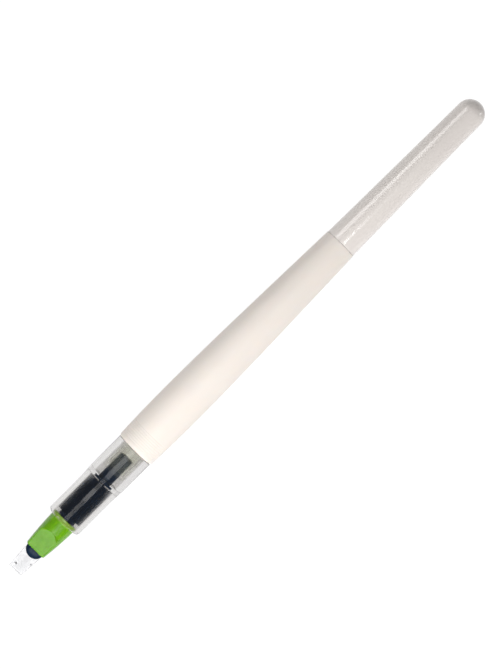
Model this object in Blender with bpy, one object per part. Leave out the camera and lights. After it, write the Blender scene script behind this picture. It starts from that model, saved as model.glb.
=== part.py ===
"""A calligraphy pen with two parallel steel plates for a nib, as the pieces that it comes apart into.

The pen lies along X, its writing edge at -X, its round tail at +X and its plates level. A station is a
distance along the pen, counted from the writing edge, and a radius is counted from the pen's own axis. All
the pieces are round or flat about that axis, so each one's origin lies on it.
"""

import math

import bmesh
import bpy
from mathutils import Vector

MM = 0.001

# The whole pen
LENGTH = 157.0 * MM
WIDEST_RADIUS = 5.5 * MM
SIDES = 32
SHARP_ANGLE = math.radians(35)
CLEARANCE = 0.05 * MM  # between pieces that are pushed together
BORE_TAPER = 1.0 * MM  # the length of the cone where a bore changes size
OVERRUN = 1.0 * MM  # how far a cutting shape runs past what it cuts

# The steel plates, with the ink between them
NIB_WIDTH = 3.8 * MM
PLATE_THICKNESS = 0.25 * MM
INK_GAP = 0.12 * MM
PLATE_END = 14.0 * MM
PLATE_SHOULDER = 6.0 * MM
PLATE_SHOULDER_HALF_WIDTH = 2.3 * MM
PLATE_SHOULDER_TAPER = 1.0 * MM
PLATE_TANG_HALF_WIDTH = 2.0 * MM
DIMPLE_DEPTH = 0.05 * MM
DIMPLES = ((1.4 * MM, 1.3 * MM, 0.3 * MM), (3.6 * MM, -1.75 * MM, 0.22 * MM))  # station, y and radius
DIMPLE_SIDES = 12

# The black holder, in two halves, which ends in a tongue over each plate
TONGUE_TIP = 4.65 * MM
TONGUE_HALF_WIDTH = 2.42 * MM
TONGUE_TIP_HALF_HEIGHT = 0.42 * MM
HOLDER_SLIT = PLATE_THICKNESS + INK_GAP / 2 + 0.02 * MM  # from the middle to each half
HOLDER_RADIUS = 2.1 * MM
HOLDER_SQUARENESS = 3  # the power of the superellipse across the holder
TONGUE_STEPS = 7

# The collar round the holder, flattened at the front like a duck's bill
COLLAR_FRONT = 6.8 * MM
COLLAR_FRONT_RADIUS = 2.7 * MM
COLLAR_RADIUS = 3.46 * MM
COLLAR_END = 17.3 * MM
COLLAR_EDGE = 0.12 * MM
COLLAR_SWELL = 0.12 * MM  # how far its side stands out half-way along
FLAT_HEIGHT = 1.35 * MM  # half the bill's thickness at its front
FLAT_SLOPE = math.radians(6.3)
FLAT_END = 12.9 * MM
FLAT_END_RADIUS = 3.2 * MM
HOLDER_WALL = 0.4 * MM

# The feed, a stack of fins on a core, with a blade into the holder and a stem into the nipple
BLADE_FRONT = 14.2 * MM
BLADE_HALF_WIDTH = 1.6 * MM
FEED_FRONT = 17.45 * MM
FEED_NECK_RADIUS = 2.4 * MM
FIRST_FIN = 18.4 * MM
LAST_FIN = 29.4 * MM
FIN_RADIUS = 3.5 * MM
FIN_CORE_RADIUS = 2.2 * MM
FIN_COUNT = 9
FIN_SHARE = 0.55  # of the pitch that is fin and not gap
INK_SLIT_HALF_WIDTH = 0.2 * MM
INK_SLIT_FLOOR = 1.2 * MM
STEM_RADIUS = 0.95 * MM
STEM_END = 36.9 * MM

# The nipple that the cartridge pushes onto
NIPPLE_FRONT = 29.7 * MM
NIPPLE_FLANGE = 0.6 * MM
NIPPLE_FLANGE_RADIUS = 2.74 * MM
NIPPLE_RADIUS = 1.9 * MM
NIPPLE_BORE = 1.1 * MM
NIPPLE_END = 37.8 * MM
NIPPLE_CHAMFER = 0.35 * MM

# The clear grip section, with a threaded neck for the barrel
GRIP_FRONT = 16.2 * MM
GRIP_FRONT_RADIUS = 4.77 * MM
GRIP_CORNER = 0.7 * MM
GRIP_STEP = 29.6 * MM
GRIP_STEP_LENGTH = 0.3 * MM
GRIP_RADIUS = 5.0 * MM
GRIP_BORE = 3.65 * MM
GRIP_REAR_BORE = 3.45 * MM
BULKHEAD_FRONT = NIPPLE_FRONT - 0.1 * MM
BULKHEAD_END = 30.65 * MM
NECK_FRONT = 40.45 * MM
NECK_RADIUS = 4.05 * MM
NECK_END = 48.3 * MM

# The thread between the grip's neck and the barrel
THREAD_PITCH = 1.4 * MM
THREAD_DEPTH = 0.26 * MM
THREAD_CLEARANCE = 0.15 * MM
THREAD_FRONT = 42.0 * MM
THREAD_END = 47.6 * MM
THREAD_FADE = 0.7 * MM
ROWS_PER_PITCH = 6

# The cartridge, which is closed behind and open in front round its mouth ring
CARTRIDGE_FRONT = 32.9 * MM
CARTRIDGE_RADIUS = 3.35 * MM
CARTRIDGE_WALL = 0.6 * MM
CARTRIDGE_END = 85.0 * MM
CARTRIDGE_DOME = 1.2 * MM
MOUTH_FLANGE = 1.0 * MM
MOUTH_END = 41.5 * MM
MOUTH_BORE = 2.0 * MM
SEAL_FRONT = MOUTH_END + 0.1 * MM
SEAL_THICKNESS = 0.8 * MM
SEAL_RADIUS = 1.95 * MM
CARTRIDGE_EDGE = 0.15 * MM

# The barrel tube and the tail that plugs it
BARREL_FRONT = 40.5 * MM
BARREL_FRONT_BORE = 4.5 * MM
BARREL_RIM_RADIUS = 5.22 * MM
BARREL_CORNER = 0.6 * MM
BARREL_SIDE = (  # stations and radii along its swelling outside
    (45.5 * MM, 5.36 * MM),
    (54.0 * MM, WIDEST_RADIUS),
    (63.0 * MM, 5.45 * MM),
    (76.8 * MM, 5.2 * MM),
    (88.0 * MM, 4.9 * MM),
    (100.6 * MM, 4.53 * MM),
)
BARREL_END = 109.7 * MM
BARREL_END_RADIUS = 4.25 * MM
CHAMBER_FRONT = 50.0 * MM
CHAMBER_FRONT_RADIUS = 4.35 * MM
CHAMBER_END_RADIUS = 3.7 * MM
TAIL_FRONT = BARREL_END + CLEARANCE
TAIL_SIDE = (  # stations and radii along its outside
    (112.5 * MM, 4.19 * MM),
    (119.7 * MM, 4.05 * MM),
    (138.7 * MM, 3.8 * MM),
    (153.4 * MM, 3.62 * MM),
)
SPIGOT_FRONT = 105.0 * MM
SPIGOT_RADIUS = 3.3 * MM
SPIGOT_END_GAP = 0.15 * MM
SOCKET_RADIUS = SPIGOT_RADIUS + 2 * CLEARANCE
TAIL_BORE = 2.4 * MM
TAIL_BORE_END = 151.0 * MM
DOME_STEPS = 5
CORNER_STEPS = 3

ANGLES = [(k + 0.5) * 2 * math.pi / SIDES for k in range(SIDES)]
CORNER_STANDOUT = 1 / math.cos(math.pi / SIDES)  # it puts the flats of a round piece on its true circle


# Outlines and rings


def quarter(steps):
    """The angles of a quarter circle, from 0 to 90 degrees."""
    return [math.pi / 2 * step / steps for step in range(steps + 1)]


def front_corner(station, radius, size):
    """An arc from a flat front face at this station out to the side at this radius."""
    return [
        (station + size * (1 - math.cos(turn)), radius - size * (1 - math.sin(turn)))
        for turn in quarter(CORNER_STEPS)
    ]


def rear_dome(start, radius, end):
    """A rounded end, from the side at this start to the point on the axis at this end."""
    return [
        (start + (end - start) * math.sin(turn), radius * math.cos(turn))
        for turn in quarter(DOME_STEPS)[1:-1]
    ] + [(end, 0)]


def on_circle(station, radius, angle):
    corner = radius * CORNER_STANDOUT
    return Vector((station, corner * math.cos(angle), corner * math.sin(angle)))


def circle(station, radius):
    """A ring of points about the axis, or the one point on the axis where the radius is zero."""
    if radius == 0:
        return [Vector((station, 0, 0))]
    return [on_circle(station, radius, angle) for angle in ANGLES]


def turned(outline):
    return [circle(station, radius) for station, radius in outline]


def thread_height(station, angle):
    """How high a right-hand thread is here, 0 in its root and 1 on its crest, and how far it has faded in."""
    wave = 0.5 + 0.5 * math.cos(2 * math.pi * station / THREAD_PITCH - angle)
    fade = min(station - THREAD_FRONT, THREAD_END - station) / THREAD_FADE
    return wave, max(0, min(1, fade))


def thread_rings(radius_at):
    """The rings that carry the thread, front to back. radius_at gives the radius for a thread height."""
    rows = round((THREAD_END - THREAD_FRONT) / THREAD_PITCH * ROWS_PER_PITCH)
    step = (THREAD_END - THREAD_FRONT) / rows
    stations = [THREAD_FRONT + row * step for row in range(rows + 1)]
    return [
        [on_circle(station, radius_at(*thread_height(station, angle)), angle) for angle in ANGLES]
        for station in stations
    ]


def outer_thread(wave, fade):
    return NECK_RADIUS + THREAD_DEPTH * wave * fade


def inner_thread(wave, fade):
    return NECK_RADIUS + THREAD_CLEARANCE + THREAD_DEPTH * (1 - (1 - wave) * fade)


def superellipse(station, half_width, half_height):
    """A ring shaped like a squared-off ellipse across the pen."""

    def reach(size, share):
        return math.copysign(size * abs(share) ** (2 / HOLDER_SQUARENESS), share)

    return [
        Vector((station, reach(half_width, math.cos(angle)), reach(half_height, math.sin(angle))))
        for angle in ANGLES
    ]


# Meshes and objects


def face_outwards(bm):
    bmesh.ops.recalc_face_normals(bm, faces=bm.faces)
    if bm.calc_volume(signed=True) < 0:
        bmesh.ops.reverse_faces(bm, faces=bm.faces)


def skin(rings, tube=False):
    """A closed mesh through the rings in order. A tube's last ring meets its first; other ends are closed."""
    bm = bmesh.new()
    loops = [[bm.verts.new(point) for point in ring] for ring in rings]
    following = loops[1:] + loops[:1] if tube else loops[1:]
    for near, far in zip(loops, following):
        for k in range(SIDES):
            corners = (
                near[k % len(near)],
                near[(k + 1) % len(near)],
                far[(k + 1) % len(far)],
                far[k % len(far)],
            )
            bm.faces.new(dict.fromkeys(corners))
    if not tube:
        for end in (loops[0], loops[-1]):
            if len(end) > 1:
                bm.faces.new(end)
    face_outwards(bm)
    return bm


def block(low, high):
    """A rectangular mesh between two opposite corners."""
    bm = bmesh.new()
    bmesh.ops.create_cube(bm, size=1)
    size = Vector(high) - Vector(low)
    bmesh.ops.scale(bm, vec=size, verts=bm.verts)
    bmesh.ops.translate(bm, vec=Vector(low) + size / 2, verts=bm.verts)
    return bm


def axis_empty(name, parent=None):
    """An empty on the pen's axis at the writing edge, which the pieces of one moving group hang from."""
    empty = bpy.data.objects.new(name, None)
    empty.parent = parent
    empty.empty_display_size = WIDEST_RADIUS
    bpy.context.collection.objects.link(empty)
    return empty


def add_object(name, bm, group, start=0.0):
    """An object of this mesh, with its origin on the axis at its own front end."""
    bmesh.ops.translate(bm, vec=(-start, 0, 0), verts=bm.verts)
    mesh = bpy.data.meshes.new(name)
    bm.to_mesh(mesh)
    bm.free()
    thing = bpy.data.objects.new(name, mesh)
    thing.location.x = start
    thing.parent = group
    bpy.context.collection.objects.link(thing)
    return thing


def add_piece(name, bm, group, material, start):
    piece = add_object(name, bm, group, start)
    piece.data.materials.append(material)
    piece.data.shade_smooth()
    piece.data.set_sharp_from_angle(angle=SHARP_ANGLE)
    return piece


def combine(piece, operation, name, bm, group):
    """Cuts this mesh from the piece, or joins it on. The helper object itself isn't part of the pen."""
    helper = add_object(name, bm, group)
    helper.hide_render = True
    helper.display_type = "WIRE"
    boolean = piece.modifiers.new(name, "BOOLEAN")
    boolean.operation = operation
    boolean.object = helper


def finish_material(name, colour, roughness, metallic=0.0, transmission=0.0):
    material = bpy.data.materials.new(name)
    material.use_nodes = True
    shader = material.node_tree.nodes["Principled BSDF"]
    shader.inputs["Base Color"].default_value = (*colour, 1)
    shader.inputs["Roughness"].default_value = roughness
    shader.inputs["Metallic"].default_value = metallic
    shader.inputs["Transmission Weight"].default_value = transmission
    return material


# The nib unit


def plate_outline():
    """Half of the plate's outline, from the writing edge back along one side."""
    return [
        (0, NIB_WIDTH / 2),
        (PLATE_SHOULDER, PLATE_SHOULDER_HALF_WIDTH),
        (PLATE_SHOULDER + PLATE_SHOULDER_TAPER, PLATE_TANG_HALF_WIDTH),
        (PLATE_END, PLATE_TANG_HALF_WIDTH),
    ]


def edge_loop(bm, points):
    corners = [bm.verts.new(point) for point in points]
    return corners, [bm.edges.new(pair) for pair in zip(corners, corners[1:] + corners[:1])]


def dimple_circle(dimple, share, height):
    """A ring of a dimple at this share of its radius."""
    station, y, radius = dimple
    turns = [2 * math.pi * k / DIMPLE_SIDES for k in range(DIMPLE_SIDES)]
    return [
        (station + share * radius * math.cos(turn), y + share * radius * math.sin(turn), height)
        for turn in turns
    ]


def press_dimple(bm, rim, dimple, height):
    """Fills the hole in the plate with a pit, which is halfway down at half its radius."""
    middle = [bm.verts.new(point) for point in dimple_circle(dimple, 0.5, height - DIMPLE_DEPTH / 2)]
    bottom = bm.verts.new((dimple[0], dimple[1], height - DIMPLE_DEPTH))
    for k in range(DIMPLE_SIDES):
        after = (k + 1) % DIMPLE_SIDES
        bm.faces.new((rim[k], rim[after], middle[after], middle[k]))
        bm.faces.new((middle[k], middle[after], bottom))


def plate_sheet(side):
    """The inner surface of the upper plate (side 1) or, turned half round, of the lower plate (side -1)."""
    bm = bmesh.new()
    height = INK_GAP / 2
    right = plate_outline()
    outline = [(x, y, height) for x, y in right] + [(x, -y, height) for x, y in reversed(right)]
    _, edges = edge_loop(bm, outline)
    rims = []
    for dimple in DIMPLES:
        rim, rim_edges = edge_loop(bm, dimple_circle(dimple, 1, height))
        rims.append(rim)
        edges += rim_edges
    bmesh.ops.triangle_fill(bm, edges=edges, use_beauty=True, normal=(0, 0, 1))
    for rim, dimple in zip(rims, DIMPLES):
        press_dimple(bm, rim, dimple, height)
    bmesh.ops.scale(bm, vec=(1, side, side), verts=bm.verts)
    bmesh.ops.recalc_face_normals(bm, faces=bm.faces)
    for face in bm.faces:
        if face.normal.z * side < 0:
            face.normal_flip()
    return bm


def add_plate(name, side, group, steel):
    plate = add_piece(name, plate_sheet(side), group, steel, 0)
    thickness = plate.modifiers.new("thickness", "SOLIDIFY")
    thickness.thickness = PLATE_THICKNESS
    thickness.offset = 1


def bill_height(station):
    """Half the thickness of the collar's flattened front."""
    return FLAT_HEIGHT + (station - COLLAR_FRONT) * math.tan(FLAT_SLOPE)


def holder_sections():
    """Station, half width and half height of the holder inside the collar."""
    flat_part = [
        (station, width, bill_height(station) - HOLDER_WALL)
        for station, width in (
            (COLLAR_FRONT, TONGUE_HALF_WIDTH - CLEARANCE),
            (FLAT_END + HOLDER_WALL, HOLDER_RADIUS),
        )
    ]
    round_part = [
        (station, HOLDER_RADIUS, HOLDER_RADIUS)
        for station in (FLAT_END + 3 * HOLDER_WALL, COLLAR_END - CLEARANCE)
    ]
    return flat_part + round_part


def tongue_sections():
    """Station, half width and half height of the tongue, which is half an ellipse seen from above."""
    length = COLLAR_FRONT - TONGUE_TIP
    rise = bill_height(COLLAR_FRONT) - HOLDER_WALL - TONGUE_TIP_HALF_HEIGHT
    return [
        (
            COLLAR_FRONT - length * math.cos(turn),
            TONGUE_HALF_WIDTH * math.sin(turn),
            TONGUE_TIP_HALF_HEIGHT + rise * math.sin(turn),
        )
        for turn in quarter(TONGUE_STEPS)[1:-1]
    ]


def holder_half(side):
    """Both halves as one solid, cut off level at the plates."""
    bm = skin([superellipse(*section) for section in tongue_sections() + holder_sections()])
    everything = bm.verts[:] + bm.edges[:] + bm.faces[:]
    cut = bmesh.ops.bisect_plane(
        bm, geom=everything, plane_co=(0, 0, side * HOLDER_SLIT), plane_no=(0, 0, side), clear_inner=True
    )
    rim = [item for item in cut["geom_cut"] if isinstance(item, bmesh.types.BMEdge)]
    bmesh.ops.edgeloop_fill(bm, edges=rim)
    face_outwards(bm)
    return bm


def holder_cavity():
    """The space for the holder, run out past both ends of the collar."""
    sections = [(x, width + CLEARANCE, height + CLEARANCE) for x, width, height in holder_sections()]
    front = (COLLAR_FRONT - OVERRUN, *sections[0][1:])
    rear = (COLLAR_END + OVERRUN, *sections[-1][1:])
    return skin([superellipse(*section) for section in [front, *sections, rear]])


def bill_cutter(side):
    """What is cut away above or below the bill: a slab with a round end, tilted with the flat."""
    bm = bmesh.new()
    reach = 2 * COLLAR_RADIUS
    centre = FLAT_END - FLAT_END_RADIUS - COLLAR_FRONT
    sweep = [math.pi / 2 - math.pi * step / (2 * TONGUE_STEPS) for step in range(2 * TONGUE_STEPS + 1)]
    arc = [(centre + FLAT_END_RADIUS * math.cos(turn), FLAT_END_RADIUS * math.sin(turn)) for turn in sweep]
    outline = [(-reach, reach), (centre, reach), *arc, (centre, -reach), (-reach, -reach)]
    floor = bm.faces.new([bm.verts.new((x, y, 0)) for x, y in outline])
    raised = bmesh.ops.extrude_face_region(bm, geom=[floor])["geom"]
    lifted = [item for item in raised if isinstance(item, bmesh.types.BMVert)]
    bmesh.ops.translate(bm, vec=(0, 0, reach), verts=lifted)
    for vert in bm.verts:
        x, y, z = vert.co
        height = FLAT_HEIGHT + x * math.tan(FLAT_SLOPE) + z
        vert.co = (COLLAR_FRONT + x, y, side * height)
    face_outwards(bm)
    return bm


def add_collar(group, green):
    outline = [
        (COLLAR_FRONT, 0),
        (COLLAR_FRONT, COLLAR_FRONT_RADIUS - COLLAR_EDGE),
        (COLLAR_FRONT + COLLAR_EDGE, COLLAR_FRONT_RADIUS),
        ((COLLAR_FRONT + GRIP_FRONT) / 2, (COLLAR_FRONT_RADIUS + COLLAR_RADIUS) / 2 + COLLAR_SWELL),
        (GRIP_FRONT, COLLAR_RADIUS),
        (COLLAR_END - COLLAR_EDGE, COLLAR_RADIUS),
        (COLLAR_END, COLLAR_RADIUS - COLLAR_EDGE),
        (COLLAR_END, 0),
    ]
    collar = add_piece("nib_collar", skin(turned(outline)), group, green, COLLAR_FRONT)
    combine(collar, "DIFFERENCE", "holder_space", holder_cavity(), group)
    combine(collar, "DIFFERENCE", "upper_flat", bill_cutter(1), group)
    combine(collar, "DIFFERENCE", "lower_flat", bill_cutter(-1), group)


def fin_outline():
    """The fins of the feed, each a disc, with gaps between them down to the core."""
    pitch = (LAST_FIN - FIRST_FIN) / (FIN_COUNT - 1 + FIN_SHARE)
    outline = []
    for fin in range(FIN_COUNT):
        front = FIRST_FIN + fin * pitch
        rear = front + pitch * FIN_SHARE
        outline += [(front, FIN_CORE_RADIUS), (front, FIN_RADIUS)]
        outline += [(rear, FIN_RADIUS), (rear, FIN_CORE_RADIUS)]
    return outline


def add_feed(group, black):
    blade_half_height = HOLDER_SLIT - CLEARANCE
    outline = [
        (FEED_FRONT, 0),
        (FEED_FRONT, FEED_NECK_RADIUS - COLLAR_EDGE),
        (FEED_FRONT + COLLAR_EDGE, FEED_NECK_RADIUS),
        *fin_outline(),
        (LAST_FIN, STEM_RADIUS),
        (STEM_END - STEM_RADIUS / 2, STEM_RADIUS),
        (STEM_END, STEM_RADIUS / 2),
        (STEM_END, 0),
    ]
    feed = add_piece("feed_comb", skin(turned(outline)), group, black, FEED_FRONT)
    blade = block(
        (BLADE_FRONT, -BLADE_HALF_WIDTH, -blade_half_height),
        (FEED_FRONT + CLEARANCE, BLADE_HALF_WIDTH, blade_half_height),
    )
    slit = block(
        ((FEED_FRONT + FIRST_FIN) / 2, -INK_SLIT_HALF_WIDTH, INK_SLIT_FLOOR),
        (LAST_FIN + OVERRUN, INK_SLIT_HALF_WIDTH, FIN_RADIUS + OVERRUN),
    )
    combine(feed, "UNION", "feed_blade", blade, group)
    combine(feed, "DIFFERENCE", "ink_slit", slit, group)


def add_nib_unit(pen, steel, black, green):
    group = axis_empty("nib_unit_axis", pen)
    for name, side in (("upper", 1), ("lower", -1)):
        add_plate(f"nib_plate_{name}", side, group, steel)
        add_piece(f"nib_holder_{name}", holder_half(side), group, black, TONGUE_TIP)
    add_collar(group, green)
    add_feed(group, black)


# The grip and the nipple fixed in it


def add_grip(pen, clear):
    outside = [
        (GRIP_FRONT, GRIP_BORE),
        *front_corner(GRIP_FRONT, GRIP_FRONT_RADIUS, GRIP_CORNER),
        (GRIP_STEP, GRIP_FRONT_RADIUS),
        (GRIP_STEP + GRIP_STEP_LENGTH, GRIP_RADIUS),
        (NECK_FRONT, GRIP_RADIUS),
        (NECK_FRONT, NECK_RADIUS),
    ]
    inside = [
        (NECK_END, NECK_RADIUS),
        (NECK_END, GRIP_REAR_BORE),
        (BULKHEAD_END, GRIP_REAR_BORE),
        (BULKHEAD_END, NIPPLE_RADIUS + CLEARANCE),
        (NIPPLE_FRONT + NIPPLE_FLANGE + CLEARANCE, NIPPLE_RADIUS + CLEARANCE),
        (NIPPLE_FRONT + NIPPLE_FLANGE + CLEARANCE, NIPPLE_FLANGE_RADIUS + CLEARANCE),
        (BULKHEAD_FRONT, NIPPLE_FLANGE_RADIUS + CLEARANCE),
        (BULKHEAD_FRONT, GRIP_BORE),
    ]
    rings = turned(outside) + thread_rings(outer_thread) + turned(inside)
    add_piece("grip_section", skin(rings, tube=True), pen, clear, GRIP_FRONT)


def add_nipple(pen, black):
    outline = [
        (NIPPLE_FRONT, NIPPLE_BORE),
        (NIPPLE_FRONT, NIPPLE_FLANGE_RADIUS),
        (NIPPLE_FRONT + NIPPLE_FLANGE, NIPPLE_FLANGE_RADIUS),
        (NIPPLE_FRONT + NIPPLE_FLANGE, NIPPLE_RADIUS),
        (NIPPLE_END - NIPPLE_CHAMFER, NIPPLE_RADIUS),
        (NIPPLE_END, NIPPLE_RADIUS - NIPPLE_CHAMFER),
        (NIPPLE_END, NIPPLE_BORE),
    ]
    add_piece("feed_nipple", skin(turned(outline), tube=True), pen, black, NIPPLE_FRONT)


# The cartridge


def add_cartridge(pen, milky):
    group = axis_empty("cartridge_axis", pen)
    inner_radius = CARTRIDGE_RADIUS - CARTRIDGE_WALL
    body_front = CARTRIDGE_FRONT + MOUTH_FLANGE + CLEARANCE
    dome_start = CARTRIDGE_END - CARTRIDGE_DOME
    body = [
        (dome_start, 0),
        (dome_start, inner_radius),
        (body_front, inner_radius),
        (body_front, CARTRIDGE_RADIUS),
        (dome_start, CARTRIDGE_RADIUS),
        *rear_dome(dome_start, CARTRIDGE_RADIUS, CARTRIDGE_END),
    ]
    mouth = [
        (CARTRIDGE_FRONT, MOUTH_BORE),
        (CARTRIDGE_FRONT, CARTRIDGE_RADIUS - CARTRIDGE_EDGE),
        (CARTRIDGE_FRONT + CARTRIDGE_EDGE, CARTRIDGE_RADIUS),
        (CARTRIDGE_FRONT + MOUTH_FLANGE, CARTRIDGE_RADIUS),
        (CARTRIDGE_FRONT + MOUTH_FLANGE, inner_radius - CLEARANCE),
        (MOUTH_END, inner_radius - CLEARANCE),
        (MOUTH_END, MOUTH_BORE),
    ]
    seal = [
        (SEAL_FRONT, 0),
        (SEAL_FRONT, SEAL_RADIUS - CARTRIDGE_EDGE),
        (SEAL_FRONT + CARTRIDGE_EDGE, SEAL_RADIUS),
        (SEAL_FRONT + SEAL_THICKNESS - CARTRIDGE_EDGE, SEAL_RADIUS),
        (SEAL_FRONT + SEAL_THICKNESS, SEAL_RADIUS - CARTRIDGE_EDGE),
        (SEAL_FRONT + SEAL_THICKNESS, 0),
    ]
    add_piece("cartridge_body", skin(turned(body)), group, milky, body_front)
    add_piece("cartridge_mouth", skin(turned(mouth), tube=True), group, milky, CARTRIDGE_FRONT)
    add_piece("cartridge_seal", skin(turned(seal)), axis_empty("seal_axis", group), milky, SEAL_FRONT)


# The barrel


def add_barrel(group, ivory):
    socket_front = SPIGOT_FRONT - SPIGOT_END_GAP
    outside = [
        (BARREL_FRONT, BARREL_FRONT_BORE),
        *front_corner(BARREL_FRONT, BARREL_RIM_RADIUS, BARREL_CORNER),
        *BARREL_SIDE,
        (BARREL_END, BARREL_END_RADIUS),
        (BARREL_END, SOCKET_RADIUS),
        (socket_front, SOCKET_RADIUS),
        (socket_front - BORE_TAPER, CHAMBER_END_RADIUS),
        (CHAMBER_FRONT, CHAMBER_FRONT_RADIUS),
        (CHAMBER_FRONT - BORE_TAPER, BARREL_FRONT_BORE),
    ]
    rings = turned(outside) + thread_rings(inner_thread)[::-1]
    add_piece("barrel_tube", skin(rings, tube=True), group, ivory, BARREL_FRONT)


def add_tail(group, gloss):
    dome_start, dome_radius = TAIL_SIDE[-1]
    outline = [
        (TAIL_BORE_END, 0),
        (TAIL_BORE_END, TAIL_BORE),
        (SPIGOT_FRONT, TAIL_BORE),
        (SPIGOT_FRONT, SPIGOT_RADIUS),
        (TAIL_FRONT, SPIGOT_RADIUS),
        (TAIL_FRONT, BARREL_END_RADIUS - CLEARANCE),
        *TAIL_SIDE,
        *rear_dome(dome_start, dome_radius, LENGTH),
    ]
    add_piece("tail_cone", skin(turned(outline)), group, gloss, SPIGOT_FRONT)


def main():
    for thing in list(bpy.data.objects):
        bpy.data.objects.remove(thing)

    steel = finish_material("plate_steel", (0.82, 0.83, 0.84), 0.25, metallic=1.0)
    black = finish_material("feed_black", (0.012, 0.016, 0.028), 0.35)
    green = finish_material("collar_green", (0.20, 0.45, 0.04), 0.2, transmission=0.5)
    clear = finish_material("grip_clear", (0.95, 0.95, 0.94), 0.05, transmission=1.0)
    milky = finish_material("cartridge_milky", (0.75, 0.74, 0.66), 0.3, transmission=0.4)
    ivory = finish_material("barrel_ivory", (0.88, 0.84, 0.76), 0.45)
    gloss = finish_material("tail_gloss", (0.72, 0.67, 0.63), 0.15)

    pen = axis_empty("pen_axis")
    pen.location = (-LENGTH / 2, 0, WIDEST_RADIUS)
    add_nib_unit(pen, steel, black, green)
    add_grip(pen, clear)
    add_nipple(pen, black)
    add_cartridge(pen, milky)
    tail_group = axis_empty("tail_axis", pen)
    add_tail(tail_group, gloss)
    add_barrel(axis_empty("barrel_axis", tail_group), ivory)


main()
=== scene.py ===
"""The looks of a calligraphy pen with two parallel steel plates for a nib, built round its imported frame.

The pen lies along X, its writing edge at -X and its round tail at +X. A station is a distance along the pen,
counted from the writing edge, and a radius is counted from the pen's own axis. A shape is a grid of points:
each row is a ring round the axis, and each point is a station, a y and a height over the axis.
"""

import math

import bpy
import numpy as np
from mathutils import Matrix, Vector


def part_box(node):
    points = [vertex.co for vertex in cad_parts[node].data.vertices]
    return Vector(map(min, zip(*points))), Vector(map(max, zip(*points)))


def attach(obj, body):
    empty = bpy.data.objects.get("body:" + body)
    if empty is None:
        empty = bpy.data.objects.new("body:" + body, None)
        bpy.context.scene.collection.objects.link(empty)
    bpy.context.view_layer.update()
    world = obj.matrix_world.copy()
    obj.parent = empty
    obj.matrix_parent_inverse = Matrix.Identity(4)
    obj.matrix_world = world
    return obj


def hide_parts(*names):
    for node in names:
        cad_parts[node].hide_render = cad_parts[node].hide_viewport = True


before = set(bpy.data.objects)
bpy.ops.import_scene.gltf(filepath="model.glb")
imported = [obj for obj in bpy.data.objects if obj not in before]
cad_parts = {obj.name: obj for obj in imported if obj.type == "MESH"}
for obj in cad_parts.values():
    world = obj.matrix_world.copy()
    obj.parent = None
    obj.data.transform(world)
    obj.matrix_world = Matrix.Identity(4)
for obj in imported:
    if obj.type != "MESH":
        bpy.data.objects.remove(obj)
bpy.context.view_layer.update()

MM = 0.001
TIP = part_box("nib_plate_upper")[0].x
AXIS_HEIGHT = sum(corner.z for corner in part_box("barrel_tube")) / 2
COLUMNS = 128
ARC_STEPS = 8
SHARP_ANGLE = math.radians(38)


def span(node):
    """The stations where a CAD node starts and ends."""
    low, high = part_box(node)
    return low.x - TIP, high.x - TIP


def radius_of(node):
    low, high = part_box(node)
    return (high.z - low.z) / 2


# Sizes of the nib unit
PLATE_END = span("nib_plate_upper")[1]
NIB_HALF_WIDTH = 1.9 * MM
SHOULDER = 6.0 * MM
SHOULDER_HALF_WIDTH = 2.3 * MM
TANG_HALF_WIDTH = 2.0 * MM
PLATE_INNER = 0.06 * MM
PLATE_OUTER = 0.31 * MM
PLATE_EDGE = 0.045 * MM
PLATE_COLUMNS = 91
PRESSED_END = 5.0 * MM  # the plate has fine rows up to here, for its dimples
PRESSED_STEP = 0.06 * MM
PLAIN_ROWS = 24
DIMPLE_SLOPE = 0.26
DIMPLES = ((1.4 * MM, 1.1 * MM, 0.34 * MM), (3.6 * MM, -1.8 * MM, 0.24 * MM))  # station, y and radius
PIT_STATION = 0.3 * MM  # a row of small pits lies along the writing edge
PIT_RADIUS = 0.11 * MM
PIT_COUNT = 13
PIT_REACH = 1.68 * MM

COLLAR_FRONT, COLLAR_END = span("nib_collar")
COLLAR_RADIUS = radius_of("nib_collar")
COLLAR_FRONT_RADIUS = 2.78 * MM
COLLAR_SWELL = 0.12 * MM
COLLAR_LIP = 0.14 * MM
BILL_HEIGHT = 1.35 * MM
BILL_SLOPE = math.tan(math.radians(6.3))
BILL_END = 12.75 * MM
BILL_BEND = 2.4 * MM
BILL_STEP = 0.16 * MM
BILL_POWER = 4
BILL_SOFTNESS = 0.12 * MM
BILL_ROW = 0.16 * MM
STEP_START = 10.5 * MM  # the collar has fine rows from here to the end of its bill
STEP_ROW = 0.03 * MM
COLLAR_ROWS = 24
LEAST_SINE = 0.05
PAINTED_GLOW_START = -0.3 * MM  # the collar's rear end, painted paler as painted light, counted from the front of the grip
PAINTED_GLOW_END = 0.1 * MM

TONGUE_TIP = span("nib_holder_upper")[0]
TONGUE_HALF_WIDTH = 2.42 * MM
TONGUE_TIP_HEIGHT = 0.42 * MM
TONGUE_START = 0.06  # radians round the tongue's outline, so that its tip isn't a point
TONGUE_ROWS = 32
HOLDER_BACK_POINTS = 64
HOLDER_FLAT_POINTS = 12
HOLDER_WALL = 0.4 * MM
HOLDER_RADIUS = 2.1 * MM
HOLDER_POWER = 3
HOLDER_SLIT = PLATE_OUTER + 0.02 * MM
CLEARANCE = 0.05 * MM

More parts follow.
